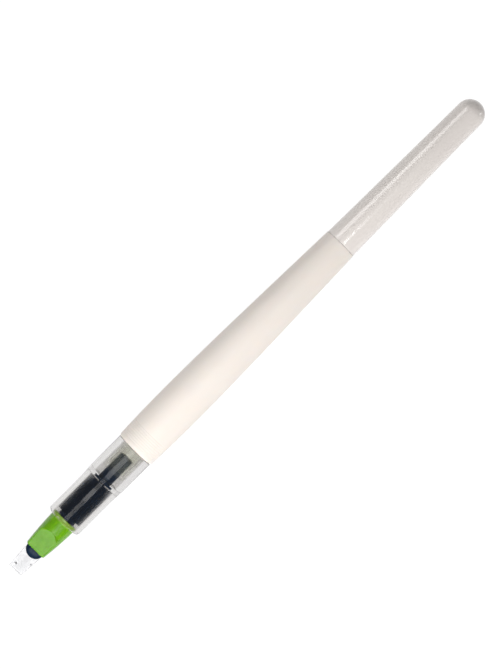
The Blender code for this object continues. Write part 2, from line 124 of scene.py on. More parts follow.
FEED_FRONT = 17.45 * MM
FEED_NECK_RADIUS = 2.4 * MM
BLADE_FRONT = span("feed_comb")[0]
BLADE_HALF_WIDTH = 1.6 * MM
FIRST_FIN = 18.4 * MM
LAST_FIN = 29.4 * MM
FIN_RADIUS = radius_of("feed_comb")
FIN_CORE_RADIUS = 2.2 * MM
FIN_COUNT = 33
FIN_SHARE = 0.55
FEED_EDGE = 0.03 * MM
FIN_DRAFT = FEED_EDGE / 3
SLIT_POINTS = 4  # the slit adds so many points to a ring
BLADE_POWER = 8
SLIT_HALF_WIDTH = 0.2 * MM
SLIT_FLOOR = 1.2 * MM
STEM_RADIUS = 0.95 * MM
STEM_END = span("feed_comb")[1]

# Sizes of the grip and what is in it
NIPPLE_FRONT, NIPPLE_END = span("feed_nipple")
FLANGE_RADIUS = radius_of("feed_nipple")
FLANGE_END = NIPPLE_FRONT + 0.6 * MM
NIPPLE_RADIUS = 1.9 * MM
NIPPLE_CORNER = 0.35 * MM
NIPPLE_BORE = 1.1 * MM

GRIP_FRONT, NECK_END = span("grip_section")
GRIP_RADIUS = radius_of("grip_section")
GRIP_FRONT_RADIUS = 4.77 * MM
GRIP_BORE = 3.65 * MM
GRIP_REAR_BORE = 3.45 * MM
GRIP_STEP = 29.6 * MM
GRIP_CORNER = 0.9 * MM
GRIP_RAMP = 1.6 * MM
BULKHEAD_END = 30.65 * MM
NECK_FRONT = 40.45 * MM
NECK_RADIUS = 4.05 * MM

THREAD_PITCH = 1.4 * MM
THREAD_DEPTH = 0.26 * MM
THREAD_CLEARANCE = 0.15 * MM
THREAD_FRONT = 42.0 * MM
THREAD_END = 47.6 * MM
THREAD_FADE = 0.7 * MM
THREAD_ROWS = 80
THREAD_MARGIN = 0.1 * MM

CARTRIDGE_FRONT, MOUTH_END = span("cartridge_mouth")
BODY_FRONT, CARTRIDGE_END = span("cartridge_body")
CARTRIDGE_RADIUS = radius_of("cartridge_body")
CARTRIDGE_INNER = 2.75 * MM
CARTRIDGE_DOME = 1.2 * MM
MOUTH_BORE = 2.0 * MM
FLANGE_LENGTH = 1.0 * MM

# Sizes of the barrel
BARREL_FRONT, BARREL_END = span("barrel_tube")
WIDEST_RADIUS = radius_of("barrel_tube")
BARREL_SIDE = (  # stations and radii along the outside
    (41.1 * MM, 5.22 * MM),
    (45.5 * MM, 5.36 * MM),
    (54.0 * MM, WIDEST_RADIUS),
    (63.0 * MM, 5.45 * MM),
    (76.8 * MM, 5.2 * MM),
    (88.0 * MM, 4.9 * MM),
    (100.6 * MM, 4.53 * MM),
    (BARREL_END, 4.25 * MM),
)
BARREL_BORE = 4.5 * MM
BARREL_STEP = 0.08 * MM
PLAIN_SHARE = 6  # one row in so many is enough past the rings
RIM_SIZE = 0.6 * MM
RING_FRONT = 41.6 * MM
RING_PITCH = 0.58 * MM
RING_COUNT = 8
RING_DEPTH = 0.06 * MM
RING_POWER = 3
CHAMBER_FRONT = 50.0 * MM
CHAMBER_FRONT_RADIUS = 4.35 * MM
CHAMBER_END_RADIUS = 3.7 * MM
SPIGOT_FRONT, PEN_LENGTH = span("tail_cone")
SPIGOT_RADIUS = 3.3 * MM
SOCKET_RADIUS = 3.4 * MM
SOCKET_FRONT = SPIGOT_FRONT - 0.15 * MM
TAIL_FRONT = BARREL_END + CLEARANCE
TAIL_SIDE = (
    (TAIL_FRONT, 4.2 * MM),
    (119.7 * MM, 4.05 * MM),
    (138.7 * MM, 3.8 * MM),
    (153.4 * MM, 3.62 * MM),
)
TAIL_BORE = 2.4 * MM
TAIL_BORE_END = 151.0 * MM
TAIL_STEP = 0.5 * MM

# Sizes of the stage
FLOOR_REACH = 8.0
WORLD_LIGHT = 0.14
CAMERA_LENS = 114.5
SENSOR_WIDTH = 36
CAMERA_X = 0.927 * MM
CAMERA_Y = -0.17 * MM
CAMERA_DISTANCE = 507 * MM
CAMERA_TURN = math.radians(-45.07)
NEAREST_SEEN = 0.01


# Outlines


def rounded(corners):
    """An outline through these corners: station, radius and, for a rounded one, how far its arc reaches."""
    points = [np.array(corner[:2]) for corner in corners]
    outline = []
    for k, corner in enumerate(corners):
        if len(corner) == 2:
            outline.append(points[k])
            continue
        before = points[k - 1] - points[k]
        after = points[(k + 1) % len(points)] - points[k]
        before /= np.linalg.norm(before)
        after /= np.linalg.norm(after)
        weight = math.sqrt((1 - before @ after) / 2)  # it makes the curve a true arc
        for share in np.linspace(0, 1, ARC_STEPS + 1):
            near, far = (1 - share) ** 2, share**2
            total = near + 2 * weight * share * (1 - share) + far
            outline.append(points[k] + corner[2] * (near * before + far * after) / total)
    return np.array(outline)


def smooth_side(points, degree, step):
    """Points a step apart on a polynomial curve fitted to these, from the first of them to the last."""
    stations, radii = np.array(points).T
    middle = stations.mean()
    fit = np.polyfit(stations - middle, radii, degree)
    count = round((stations[-1] - stations[0]) / step)
    along = np.linspace(stations[0], stations[-1], count + 1)
    return np.stack([along, np.polyval(fit, along - middle)], axis=1)


def smoothstep(value):
    share = np.clip(value, 0, 1)
    return share * share * (3 - 2 * share)


# Grids


def round_angles(columns=COLUMNS):
    return np.arange(columns) * 2 * math.pi / columns


def polar(stations, radii, angles):
    """A grid with these radii at these angles, counted from +Y towards +Z."""
    stations = np.asarray(stations).reshape(-1, 1)
    return np.stack(np.broadcast_arrays(stations, radii * np.cos(angles), radii * np.sin(angles)), axis=-1)


def turned(outline):
    outline = np.asarray(outline)
    return polar(outline[:, 0], outline[:, 1:], round_angles())


def squared(half_width, half_height, angles, power=HOLDER_POWER):
    """The y and height of points on a squared-off ellipse."""

    def reach(size, share):
        return size * np.sign(share) * np.abs(share) ** (2 / power)

    return reach(half_width, np.cos(angles)), reach(half_height, np.sin(angles))


def squared_grid(sections, angles):
    """A grid of squared-off ellipses from stations, half widths and half heights."""
    stations, widths, heights = (column.reshape(-1, 1) for column in np.array(sections).T)
    y, z = squared(widths, heights, angles)
    return np.stack(np.broadcast_arrays(stations, y, z), axis=-1)


def add_mesh(name, grid, tube=False):
    """A closed smooth mesh through a grid. A tube's last ring meets its first; other ends are closed."""
    rows, columns = grid.shape[:2]
    points = grid.reshape(-1, 3)
    index = np.arange(rows * columns).reshape(rows, columns)
    near, far = (index, np.roll(index, -1, 0)) if tube else (index[:-1], index[1:])
    corners = (near, np.roll(near, -1, 1), np.roll(far, -1, 1), far)
    faces = np.stack(corners, axis=-1).reshape(-1, 4).tolist()
    if not tube:
        for ring, ends in ((index[0], (1, 0)), (index[-1], (0, 1))):
            pole = len(points)
            points = np.vstack([points, points[ring].mean(axis=0)])
            pairs = np.stack([ring, np.roll(ring, -1)], axis=1)[:, ends]
            faces += [(int(a), int(b), pole) for a, b in pairs]
    triangles = [(face[0], *face[k : k + 2]) for face in faces for k in range(1, len(face) - 1)]
    a, b, c = points[np.array(triangles)].transpose(1, 0, 2)
    if np.einsum("ij,ij->", a, np.cross(b, c)) < 0:
        faces = [face[::-1] for face in faces]
    mesh = bpy.data.meshes.new(name)
    mesh.from_pydata((points + (TIP, 0, AXIS_HEIGHT)).tolist(), [], faces)
    mesh.shade_smooth()
    mesh.set_sharp_from_angle(angle=SHARP_ANGLE)
    piece = bpy.data.objects.new(name, mesh)
    bpy.context.collection.objects.link(piece)
    return piece


def finish_piece(piece, body, node, material):
    """The piece moves with this body and stands for this CAD node."""
    piece.data.materials.append(material)
    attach(piece, body)
    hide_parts(node)


# The nib unit


def plate_half_width(stations):
    """The plate widens from its writing edge to a shoulder, which is hidden in the holder."""
    side = NIB_HALF_WIDTH + (SHOULDER_HALF_WIDTH - NIB_HALF_WIDTH) * stations / SHOULDER
    return np.where(stations < SHOULDER, side, TANG_HALF_WIDTH)


def plate_grid(side):
    """A plate as a grid of rows across it: over its outer face, round its edge and back under."""
    edge = PLATE_EDGE * (1 - np.cos(np.linspace(0, math.pi / 2, ARC_STEPS)))
    pressed = np.arange(edge[-1], PRESSED_END, PRESSED_STEP)
    stations = np.concatenate([edge, pressed[1:], np.linspace(PRESSED_END, PLATE_END, PLAIN_ROWS)])
    across = np.linspace(-1, 1, PLATE_COLUMNS)
    half_width = plate_half_width(stations).reshape(-1, 1)
    corner = np.clip((half_width * (1 - np.abs(across))) / PLATE_EDGE, 0, 1)
    front = np.clip(stations / PLATE_EDGE, 0, 1).reshape(-1, 1)
    drop = PLATE_EDGE * (2 - np.sqrt(1 - (1 - corner) ** 2) - np.sqrt(1 - (1 - front) ** 2))
    y = half_width * across
    outer = PLATE_OUTER - drop
    inner = PLATE_INNER + drop
    pits = [(PIT_STATION, pit_y, PIT_RADIUS) for pit_y in np.linspace(-PIT_REACH, PIT_REACH, PIT_COUNT)]
    for station, dimple_y, radius in (*DIMPLES, *pits):
        away = np.hypot(stations.reshape(-1, 1) - station, y - side * dimple_y) / radius
        outer = outer - DIMPLE_SLOPE * radius * (0.5 + 0.5 * np.cos(math.pi * np.clip(away, 0, 1)))
    along = np.broadcast_to(stations.reshape(-1, 1), y.shape)
    top = np.stack([along, y, side * outer], axis=-1)
    bottom = np.stack([along, y, side * inner], axis=-1)
    return np.concatenate([top, bottom[:, ::-1]], axis=1)


def bill_height(stations):
    """Half the thickness of the collar's flattened front."""
    return BILL_HEIGHT + (stations - COLLAR_FRONT) * BILL_SLOPE


def holder_sections():
    """Station, half width and half height of the holder inside the collar."""
    flat_end, round_front = BILL_END + HOLDER_WALL, BILL_END + 3 * HOLDER_WALL
    return [
        (COLLAR_FRONT, TONGUE_HALF_WIDTH - CLEARANCE, bill_height(COLLAR_FRONT) - HOLDER_WALL),
        (flat_end, HOLDER_RADIUS, bill_height(flat_end) - HOLDER_WALL),
        (round_front, HOLDER_RADIUS, HOLDER_RADIUS),
        (COLLAR_END - CLEARANCE, HOLDER_RADIUS, HOLDER_RADIUS),
    ]


def tongue_sections():
    """Station, half width and half height of the tongue, which is half an ellipse seen from above."""
    length = COLLAR_FRONT - TONGUE_TIP
    rise = bill_height(COLLAR_FRONT) - HOLDER_WALL - TONGUE_TIP_HEIGHT
    return [
        (
            COLLAR_FRONT - length * math.cos(turn),
            (TONGUE_HALF_WIDTH - CLEARANCE) * math.sin(turn),
            TONGUE_TIP_HEIGHT + rise * math.sin(turn),
        )
        for turn in np.linspace(TONGUE_START, math.pi / 2, TONGUE_ROWS)[:-1]
    ]


def holder_grid(side):
    """One half of the holder: a rounded back over a flat face that lies on the plate."""
    rings = []
    for station, half_width, half_height in tongue_sections() + holder_sections():
        start = math.asin(min(1, HOLDER_SLIT / half_height) ** (HOLDER_POWER / 2))
        turns = np.linspace(start, math.pi - start, HOLDER_BACK_POINTS)
        back = squared(half_width, half_height, turns)
        flat = np.linspace(back[0][-1], back[0][0], HOLDER_FLAT_POINTS)[1:-1]
        y = np.concatenate([back[0], flat])
        z = np.concatenate([back[1], np.full(flat.shape, HOLDER_SLIT)])
        rings.append(np.stack([np.full(y.shape, station), y, side * z], axis=1))
    return np.array(rings)


def collar_side(stations):
    """The radius of the collar before its bill is flattened."""
    share = (stations - COLLAR_FRONT) / (GRIP_FRONT - COLLAR_FRONT)
    swell = 4 * COLLAR_SWELL * share * (1 - share)
    radius = COLLAR_FRONT_RADIUS + (COLLAR_RADIUS - COLLAR_FRONT_RADIUS) * share + swell
    return np.where(share < 1, radius, COLLAR_RADIUS)


def soft_minimum(one, other, softness):
    """The smaller of two sizes, with their meeting edge rounded."""
    blend = np.clip(0.5 + 0.5 * (other - one) / softness, 0, 1)
    return other + (one - other) * blend - softness * blend * (1 - blend)


def collar_outside(angles):
    """The collar's outside: a cone whose front is flattened above and below like a duck's bill."""
    front = COLLAR_FRONT + COLLAR_LIP * (1 - np.cos(np.linspace(0, math.pi / 2, ARC_STEPS)))
    bill = np.arange(front[-1] + BILL_ROW / 2, STEP_START, BILL_ROW)
    step = np.arange(STEP_START, BILL_END + 2 * BILL_STEP, STEP_ROW)
    rear = np.linspace(step[-1] + 5 * STEP_ROW, COLLAR_END - COLLAR_LIP, COLLAR_ROWS)
    end = COLLAR_END - COLLAR_LIP * (1 - np.sin(np.linspace(0, math.pi / 2, ARC_STEPS)))
    stations = np.concatenate([front, bill, step, rear, end[1:]]).reshape(-1, 1)
    side = collar_side(stations)
    flat = bill_height(stations) / np.maximum(np.abs(np.sin(angles)), LEAST_SINE)
    billed = soft_minimum(side, flat, BILL_SOFTNESS)
    y = side * np.cos(angles)
    arc = BILL_END - BILL_BEND * (y / side) ** BILL_POWER
    radius = billed + (side - billed) * smoothstep((stations - arc) / BILL_STEP + 0.5)
    for edge in (COLLAR_FRONT, COLLAR_END):
        near = np.clip(np.abs(stations - edge) / COLLAR_LIP, 0, 1)
        radius = radius - COLLAR_LIP * (1 - np.sqrt(1 - (1 - near) ** 2))
    return polar(stations, radius, angles)


def collar_grid():
    angles = round_angles(2 * COLUMNS)
    cavity = [(x, width + CLEARANCE, height + CLEARANCE) for x, width, height in holder_sections()]
    cavity[-1] = (COLLAR_END, *cavity[-1][1:])
    return np.concatenate([collar_outside(angles), squared_grid(cavity[::-1], angles)])


def slit_ring(station, radius, floor):
    """A round ring with the ink slit cut into its top down to this floor, or whole if the floor is higher."""
    start = math.acos(SLIT_HALF_WIDTH / radius)
    turns = np.linspace(start, -math.pi - start, COLUMNS)
    top = radius * math.sin(start)
    if floor < top:
        slit_y = SLIT_HALF_WIDTH * np.array([-1, -1, 1, 1])
        slit_z = np.array([(top + floor) / 2, floor, floor, (top + floor) / 2])
    else:
        slit_y = np.linspace(-SLIT_HALF_WIDTH, SLIT_HALF_WIDTH, SLIT_POINTS + 2)[1:-1]
        slit_z = np.sqrt(radius**2 - slit_y**2)
    y = np.concatenate([radius * np.cos(turns), slit_y])
    z = np.concatenate([radius * np.sin(turns), slit_z])
    return np.stack([np.full(y.shape, station), y, z], axis=1)


def blade_ring(station, half_width, half_height, like):
    """A flat bar's ring with its points at the same turns as those of another ring."""
    y, z = squared(half_width, half_height, np.arctan2(like[:, 2], like[:, 1]), BLADE_POWER)
    return np.stack([np.full(y.shape, station), y, z], axis=1)


def feed_grid():
    """The feed: a flat blade, a neck, a comb of thin fins and a stem."""
    blade_height = HOLDER_SLIT - CLEARANCE
    neck = slit_ring(FEED_FRONT, FEED_NECK_RADIUS - FEED_EDGE, FEED_NECK_RADIUS)
    neck_middle = (FEED_FRONT + FIRST_FIN) / 2
    rings = [
        blade_ring(BLADE_FRONT, BLADE_HALF_WIDTH - FEED_EDGE, blade_height - FEED_EDGE, neck),
        blade_ring(BLADE_FRONT + FEED_EDGE, BLADE_HALF_WIDTH, blade_height, neck),
        blade_ring(FEED_FRONT, BLADE_HALF_WIDTH, blade_height, neck),
        neck,
        slit_ring(FEED_FRONT + FEED_EDGE, FEED_NECK_RADIUS, FEED_NECK_RADIUS),
        slit_ring(neck_middle, FEED_NECK_RADIUS, FEED_NECK_RADIUS),
        slit_ring(neck_middle + FEED_EDGE, FEED_NECK_RADIUS, SLIT_FLOOR),
    ]
    pitch = (LAST_FIN - FIRST_FIN) / (FIN_COUNT - 1 + FIN_SHARE)
    for fin in range(FIN_COUNT):
        front = FIRST_FIN + fin * pitch
        rear = front + pitch * FIN_SHARE
        rings += [
            slit_ring(front, FIN_CORE_RADIUS, SLIT_FLOOR),
            slit_ring(front + FIN_DRAFT, FIN_RADIUS - FEED_EDGE, SLIT_FLOOR),
            slit_ring(front + FEED_EDGE, FIN_RADIUS, SLIT_FLOOR),
            slit_ring(rear - FEED_EDGE, FIN_RADIUS, SLIT_FLOOR),
            slit_ring(rear - FIN_DRAFT, FIN_RADIUS - FEED_EDGE, SLIT_FLOOR),
            slit_ring(rear, FIN_CORE_RADIUS, SLIT_FLOOR),
        ]
    stem = [
        (LAST_FIN + FEED_EDGE, STEM_RADIUS),
        (STEM_END - STEM_RADIUS / 2, STEM_RADIUS),
        (STEM_END, STEM_RADIUS / 2),
    ]
    rings += [slit_ring(station, radius, radius) for station, radius in stem]
    return np.array(rings)


def add_nib_unit(steel, black, green):
    for name, side in (("upper", 1), ("lower", -1)):
        plate = add_mesh(f"steel_plate_{name}", plate_grid(side))
        finish_piece(plate, "nib_unit", f"nib_plate_{name}", steel)
        holder = add_mesh(f"tongue_holder_{name}", holder_grid(side))
        finish_piece(holder, "nib_unit", f"nib_holder_{name}", black)
    collar = add_mesh("bill_collar", collar_grid(), tube=True)
    finish_piece(collar, "nib_unit", "nib_collar", green)
    finish_piece(add_mesh("finned_feed", feed_grid()), "nib_unit", "feed_comb", black)


# The grip and what is in it


def thread_grid(radius_at):
    """Rings that carry the thread. radius_at takes the wave of the thread and how far it has faded in."""
    stations = np.linspace(THREAD_FRONT, THREAD_END, THREAD_ROWS).reshape(-1, 1)
    angles = round_angles()
    wave = 0.5 + 0.5 * np.cos(2 * math.pi * stations / THREAD_PITCH - angles)
    fade = np.clip(np.minimum(stations - THREAD_FRONT, THREAD_END - stations) / THREAD_FADE, 0, 1)
    return polar(stations, radius_at(wave, fade), angles)


def outer_thread(wave, fade):
    return NECK_RADIUS + THREAD_DEPTH * wave * fade


def inner_thread(wave, fade):
    return NECK_RADIUS + THREAD_CLEARANCE + THREAD_DEPTH * (1 - (1 - wave) * fade)


def add_grip(clear):
    """The grip: round corners outside, a thread on its neck, and a bulkhead with a recess for the nipple.

    Clear pieces throw no shadow, so that the lamps light what is inside them.
    """
    recess_end = FLANGE_END + CLEARANCE
    recess_radius = FLANGE_RADIUS + CLEARANCE
    outside = [
        (GRIP_FRONT, GRIP_BORE, 0.12 * MM),
        (GRIP_FRONT, GRIP_FRONT_RADIUS, GRIP_CORNER),
        (GRIP_STEP - GRIP_RAMP, GRIP_FRONT_RADIUS, MM),
        (GRIP_STEP + GRIP_RAMP, GRIP_RADIUS, MM),
        (NECK_FRONT, GRIP_RADIUS, 0.05 * MM),
        (NECK_FRONT, NECK_RADIUS, 0.1 * MM),
        (THREAD_FRONT - THREAD_MARGIN, NECK_RADIUS),
    ]
    inside = [
        (THREAD_END + THREAD_MARGIN, NECK_RADIUS),
        (NECK_END, NECK_RADIUS, 0.2 * MM),
        (NECK_END, GRIP_REAR_BORE, 0.1 * MM),
        (BULKHEAD_END, GRIP_REAR_BORE, 0.08 * MM),
        (BULKHEAD_END, NIPPLE_RADIUS + CLEARANCE, 0.03 * MM),
        (recess_end, NIPPLE_RADIUS + CLEARANCE),
        (recess_end, recess_radius),
        (GRIP_STEP, recess_radius, 0.03 * MM),
        (GRIP_STEP, GRIP_BORE, 0.08 * MM),
    ]
    outline = rounded(outside + inside)
    split = int(np.argmax(np.all(outline == outside[-1], axis=1))) + 1
    grid = np.concatenate([turned(outline[:split]), thread_grid(outer_thread), turned(outline[split:])])
    grip = add_mesh("clear_grip", grid, tube=True)
    finish_piece(grip, "grip", "grip_section", clear)
    grip.visible_shadow = False


def add_nipple(black):
    outline = rounded([
        (NIPPLE_FRONT, NIPPLE_BORE, 0.05 * MM),
        (NIPPLE_FRONT, FLANGE_RADIUS, 0.08 * MM),
        (FLANGE_END, FLANGE_RADIUS, 0.08 * MM),
        (FLANGE_END, NIPPLE_RADIUS, 0.02 * MM),
        (NIPPLE_END, NIPPLE_RADIUS, NIPPLE_CORNER),
        (NIPPLE_END, NIPPLE_BORE, 0.05 * MM),
    ])
    nipple = add_mesh("flanged_nipple", turned(outline), tube=True)
    finish_piece(nipple, "grip", "feed_nipple", black)


def cartridge_tube():
    """The outline of the tube that holds the ink, with a shallow dome behind."""
    dome_front = CARTRIDGE_END - CARTRIDGE_DOME
    turns = np.linspace(0, math.pi / 2, 3 * ARC_STEPS)[:-1]
    dome = np.stack([dome_front + CARTRIDGE_DOME * np.sin(turns), CARTRIDGE_RADIUS * np.cos(turns)], axis=1)
    shell = rounded([
        (dome_front, 0),
        (dome_front, CARTRIDGE_INNER, 0.4 * MM),
        (BODY_FRONT, CARTRIDGE_INNER, 0.06 * MM),
        (BODY_FRONT, CARTRIDGE_RADIUS, 0.06 * MM),
        (dome_front, CARTRIDGE_RADIUS),
    ])
    return np.concatenate([shell[1:-1], dome])


def cartridge_mouth():
    """The outline of the flanged ring that plugs the tube's front."""
    flange_end = CARTRIDGE_FRONT + FLANGE_LENGTH
    plug_radius = CARTRIDGE_INNER - CLEARANCE
    return rounded([
        (CARTRIDGE_FRONT, MOUTH_BORE, 0.12 * MM),
        (CARTRIDGE_FRONT, CARTRIDGE_RADIUS, 0.2 * MM),
        (flange_end, CARTRIDGE_RADIUS, 0.06 * MM),
        (flange_end, plug_radius, 0.03 * MM),
        (MOUTH_END, plug_radius, 0.15 * MM),
        (MOUTH_END, MOUTH_BORE, 0.08 * MM),
    ])


def cartridge_seal():
    """The outline of the loose disc."""
    front, rear = span("cartridge_seal")
    seal_radius = radius_of("cartridge_seal")
    return rounded([
        (front, 0),
        (front, seal_radius, 0.15 * MM),
        (rear, seal_radius, 0.15 * MM),
        (rear, 0),
    ])[1:-1]


def add_cartridge(milky):
    tube = add_mesh("ink_tube", turned(cartridge_tube()))
    finish_piece(tube, "cartridge", "cartridge_body", milky)
    ring = add_mesh("mouth_ring", turned(cartridge_mouth()), tube=True)
    finish_piece(ring, "cartridge", "cartridge_mouth", milky)
    tube.visible_shadow = ring.visible_shadow = False
    disc = add_mesh("seal_disc", turned(cartridge_seal()))
    finish_piece(disc, "seal", "cartridge_seal", milky)


# The barrel


def barrel_side():
    """The swelling outside of the barrel, with its fine rings near the front."""
    side = smooth_side(BARREL_SIDE, degree=5, step=BARREL_STEP)
    side[:, 1] += WIDEST_RADIUS - side[:, 1].max()
    phase = (side[:, 0] - RING_FRONT) / RING_PITCH
    in_rings = (phase > 0) & (phase < RING_COUNT)
    groove = 0.5 - 0.5 * np.cos(2 * math.pi * phase)
    side[:, 1] -= np.where(in_rings, RING_DEPTH * groove**RING_POWER, 0)
    plain = side[:, 0] > RING_FRONT + (RING_COUNT + 1) * RING_PITCH
    keep = ~plain | (np.arange(len(side)) % PLAIN_SHARE == 0)
    keep[-1] = True
    return side[keep]


def add_barrel(ivory):
    """The barrel: from its round front rim over the outside to the socket, then forward to its own thread."""
    side = barrel_side()
    rim = rounded([
        (BARREL_FRONT, BARREL_BORE, 0.1 * MM),
        (BARREL_FRONT, side[0][1], RIM_SIZE),
        tuple(side[0] + (MM, 0)),
    ])[:-1]
    inside = rounded([
        tuple(side[-1] - (MM, 0)),
        (BARREL_END, side[-1][1], 0.04 * MM),
        (BARREL_END, SOCKET_RADIUS, 0.05 * MM),
        (SOCKET_FRONT, SOCKET_RADIUS),
        (SOCKET_FRONT - MM, CHAMBER_END_RADIUS),
        (CHAMBER_FRONT, CHAMBER_FRONT_RADIUS),
        (CHAMBER_FRONT - MM, BARREL_BORE),
    ])[1:]
    grid = [turned(rim), turned(side[1:-1]), turned(inside), thread_grid(inner_thread)[::-1]]
    barrel = add_mesh("barrel_shell", np.concatenate(grid), tube=True)
    finish_piece(barrel, "barrel", "barrel_tube", ivory)


def add_tail(gloss):
    """The tail: from its blind bore over the spigot to the outside and the round end."""
    side = smooth_side(TAIL_SIDE, degree=2, step=TAIL_STEP)
    inner = rounded([
        (TAIL_BORE_END, 0),
        (TAIL_BORE_END, TAIL_BORE, 0.4 * MM),
        (SPIGOT_FRONT, TAIL_BORE, 0.1 * MM),
        (SPIGOT_FRONT, SPIGOT_RADIUS, 0.15 * MM),
        (TAIL_FRONT, SPIGOT_RADIUS, 0.03 * MM),
        (TAIL_FRONT, side[0][1], 0.04 * MM),
        tuple(side[1]),
    ])[1:-1]
    turns = np.linspace(0, math.pi / 2, 4 * ARC_STEPS)[:-1]
    start, radius = side[-1]
    dome = np.stack([start + (PEN_LENGTH - start) * np.sin(turns), radius * np.cos(turns)], axis=1)
    tail = add_mesh("tail_cap", turned(np.concatenate([inner, side[1:-1], dome])))
    finish_piece(tail, "tail", "tail_cone", gloss)


# Materials


class Shading:
    """A material's node tree, with short calls for the nodes that the finishes share."""

    def __init__(self, name):
        self.material = bpy.data.materials.new(name)
        self.material.use_nodes = True
        self.tree = self.material.node_tree
        self.shader = self.tree.nodes["Principled BSDF"]
        self.place = self.tree.nodes.new("ShaderNodeTexCoord").outputs["Object"]

    def noise(self, size, stretch=(1, 1, 1), detail=4):
        """Noise with features of this size in metres, drawn out along each axis by its stretch."""
        mapping = self.tree.nodes.new("ShaderNodeMapping")
        mapping.inputs["Scale"].default_value = [1 / size / factor for factor in stretch]
        self.tree.links.new(self.place, mapping.inputs["Vector"])
        noise = self.tree.nodes.new("ShaderNodeTexNoise")
        noise.inputs["Scale"].default_value = 1
        noise.inputs["Detail"].default_value = detail
        self.tree.links.new(mapping.outputs["Vector"], noise.inputs["Vector"])
        return noise.outputs["Fac"]

    def between(self, value, low, high, start=0.3, end=0.7):
        """A number that goes from low to high as the value goes from start to end."""
        spread = self.tree.nodes.new("ShaderNodeMapRange")
        for name, limit in (("From Min", start), ("From Max", end), ("To Min", low), ("To Max", high)):
            spread.inputs[name].default_value = limit
        self.tree.links.new(value, spread.inputs["Value"])
        return spread.outputs["Result"]

    def mix_colour(self, factor, colour):
        """Mixes this colour into the base colour, as far as the factor says."""
        base = self.shader.inputs["Base Color"]
        mix = self.tree.nodes.new("ShaderNodeMix")
        mix.data_type = "RGBA"
        if base.links:
            self.tree.links.new(base.links[0].from_socket, mix.inputs["A"])
        else:
            mix.inputs["A"].default_value = base.default_value
        mix.inputs["B"].default_value = (*colour, 1)
        self.tree.links.new(factor, mix.inputs["Factor"])
        self.tree.links.new(mix.outputs["Result"], base)

    def vary_colour(self, noise, one, other):
        """A base colour that follows the noise from one colour to the other."""
        self.set(Base_Color=(*one, 1))
        self.mix_colour(self.between(noise, 0, 1), other)

    def fade_colour(self, start, end, colour):
        """From one station to another the base colour fades to this one."""
        split = self.tree.nodes.new("ShaderNodeSeparateXYZ")
        self.tree.links.new(self.place, split.inputs["Vector"])
        self.mix_colour(self.between(split.outputs["X"], 0, 1, TIP + start, TIP + end), colour)

    def vary_roughness(self, noise, low, high):
        self.tree.links.new(self.between(noise, low, high), self.shader.inputs["Roughness"])

    def bump(self, noise, depth):
        """Surface relief of this depth in metres."""
        bump = self.tree.nodes.new("ShaderNodeBump")
        bump.inputs["Distance"].default_value = depth
        self.tree.links.new(noise, bump.inputs["Height"])
        self.tree.links.new(bump.outputs["Normal"], self.shader.inputs["Normal"])

    def set(self, **values):
        """Shader inputs by name, with underscores for spaces."""
        for name, value in values.items():
            self.shader.inputs[name.replace("_", " ")].default_value = value


def brushed_steel():
    """Pale steel, brushed along the pen."""
    steel = Shading("brushed_steel")
    steel.set(Metallic=1, Anisotropic=0.4)
    grain = steel.noise(0.05 * MM, stretch=(40, 1, 1))
    steel.vary_colour(grain, (0.60, 0.60, 0.61), (0.68, 0.68, 0.69))
    steel.vary_roughness(grain, 0.16, 0.24)
    steel.bump(grain, 0.0015 * MM)
    return steel.material


def black_plastic():
    """Navy-black moulded plastic with a low sheen."""
    black = Shading("black_plastic")
    cloud = black.noise(1.5 * MM)
    black.vary_colour(cloud, (0.006, 0.015, 0.034), (0.009, 0.023, 0.050))
    black.vary_roughness(cloud, 0.14, 0.22)
    black.bump(black.noise(0.08 * MM), 0.002 * MM)
    black.set(Specular_IOR_Level=0.2)
    return black.material


def green_plastic():
    """Translucent green plastic. The holder behind hardly shows, and the rear end has painted light: it is
    painted paler, as if lit through the clear grip.
    """
    green = Shading("green_plastic")
    cloud = green.noise(1.2 * MM, stretch=(2, 1, 1))
    green.vary_colour(cloud, (0.125, 0.350, 0.001), (0.160, 0.415, 0.004))
    # Painted light: inside the clear grip, the collar's rear end fades to a paler green that stands in for
    # light reaching it.
    green.fade_colour(GRIP_FRONT + PAINTED_GLOW_START, GRIP_FRONT + PAINTED_GLOW_END, (0.38, 0.62, 0.08))
    green.vary_roughness(green.noise(0.6 * MM), 0.18, 0.24)
    green.bump(green.noise(0.15 * MM), 0.0006 * MM)
    green.set(Transmission_Weight=0.12, IOR=1.5, Subsurface_Weight=0.35, Subsurface_Scale=0.8 * MM)
    green.set(Subsurface_Radius=(0.5, 1.0, 0.2))
    return green.material


def clear_plastic():
    """Clear polished plastic with faint flow lines from the mould."""
    clear = Shading("clear_plastic")
    flow = clear.noise(1.8 * MM, stretch=(3, 1, 1))
    clear.vary_colour(flow, (0.67, 0.66, 0.65), (0.70, 0.69, 0.68))
    clear.vary_roughness(flow, 0.02, 0.05)
    clear.bump(flow, 0.001 * MM)
    clear.set(Transmission_Weight=1, IOR=1.49)
    return clear.material


def milky_plastic():
    """Pale translucent plastic of the cartridge."""
    milky = Shading("milky_plastic")
    cloud = milky.noise(1.5 * MM)
    milky.vary_colour(cloud, (0.88, 0.90, 0.72), (0.92, 0.93, 0.80))
    milky.vary_roughness(cloud, 0.12, 0.18)
    milky.bump(milky.noise(0.2 * MM), 0.0005 * MM)
    milky.set(Transmission_Weight=0.92, IOR=1.15, Alpha=0.2)
    return milky.material


def ivory_plastic():
    """Satin ivory plastic with a fine moulded grain."""
    ivory = Shading("ivory_plastic")
    ivory.vary_colour(ivory.noise(3 * MM, stretch=(3, 1, 1)), (0.86, 0.79, 0.725), (0.88, 0.81, 0.75))
    ivory.vary_roughness(ivory.noise(0.8 * MM), 0.42, 0.52)
    ivory.bump(ivory.noise(0.12 * MM), 0.002 * MM)
    ivory.set(Subsurface_Weight=0.15, Subsurface_Scale=0.6 * MM, Subsurface_Radius=(1.0, 0.7, 0.5))
    return ivory.material


